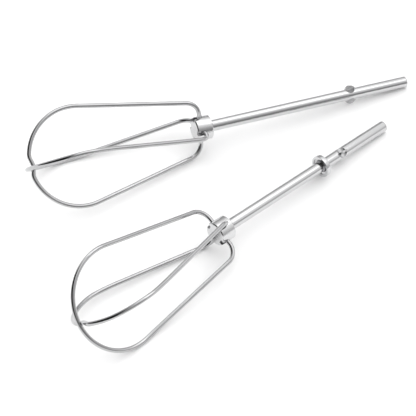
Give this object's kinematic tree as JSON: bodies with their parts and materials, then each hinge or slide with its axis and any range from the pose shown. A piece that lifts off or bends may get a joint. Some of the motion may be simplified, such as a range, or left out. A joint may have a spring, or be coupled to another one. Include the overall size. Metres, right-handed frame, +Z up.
{
  "type": "pair of hand mixer beaters",
  "caption": "Wire beaters for a hand mixer: crossed wire loops in a slotted hub on a round drive shaft with pressed ears, one shaft with a stop collar.",
  "frame": {"origin": "on the surface that the pair lies on, under the middle of its bounding box", "axes": "+Z up from the surface; +X runs from the wire loops towards the shaft tips, along the pair's longest side; +Y across the pair, towards the plain beater"},
  "size_m": [0.1868, 0.1718, 0.0406],
  "materials": {
    "polished_wire": "polished",
    "shaft_steel": "satin polished, fine lengthwise lines",
    "hub_steel": "turned and polished",
    "collar_steel": "turned and polished"
  },
  "bodies": {
    "plain_beater": {"plain_beater_shaft": "shaft_steel", "plain_beater_hub": "hub_steel", "plain_beater_outer_wire": "polished_wire", "plain_beater_inner_wire": "polished_wire"},
    "collared_beater": {"collared_beater_shaft": "shaft_steel", "collared_beater_stop_collar": "collar_steel", "collared_beater_hub": "hub_steel", "collared_beater_outer_wire": "polished_wire", "collared_beater_inner_wire": "polished_wire"}
  },
  "joints": [
    {"name": "collared_beater_lift", "type": "slide", "parent": "plain_beater", "child": "collared_beater", "axis": [0, 0, 1], "range_m": [0, 0.06]}
  ]
}
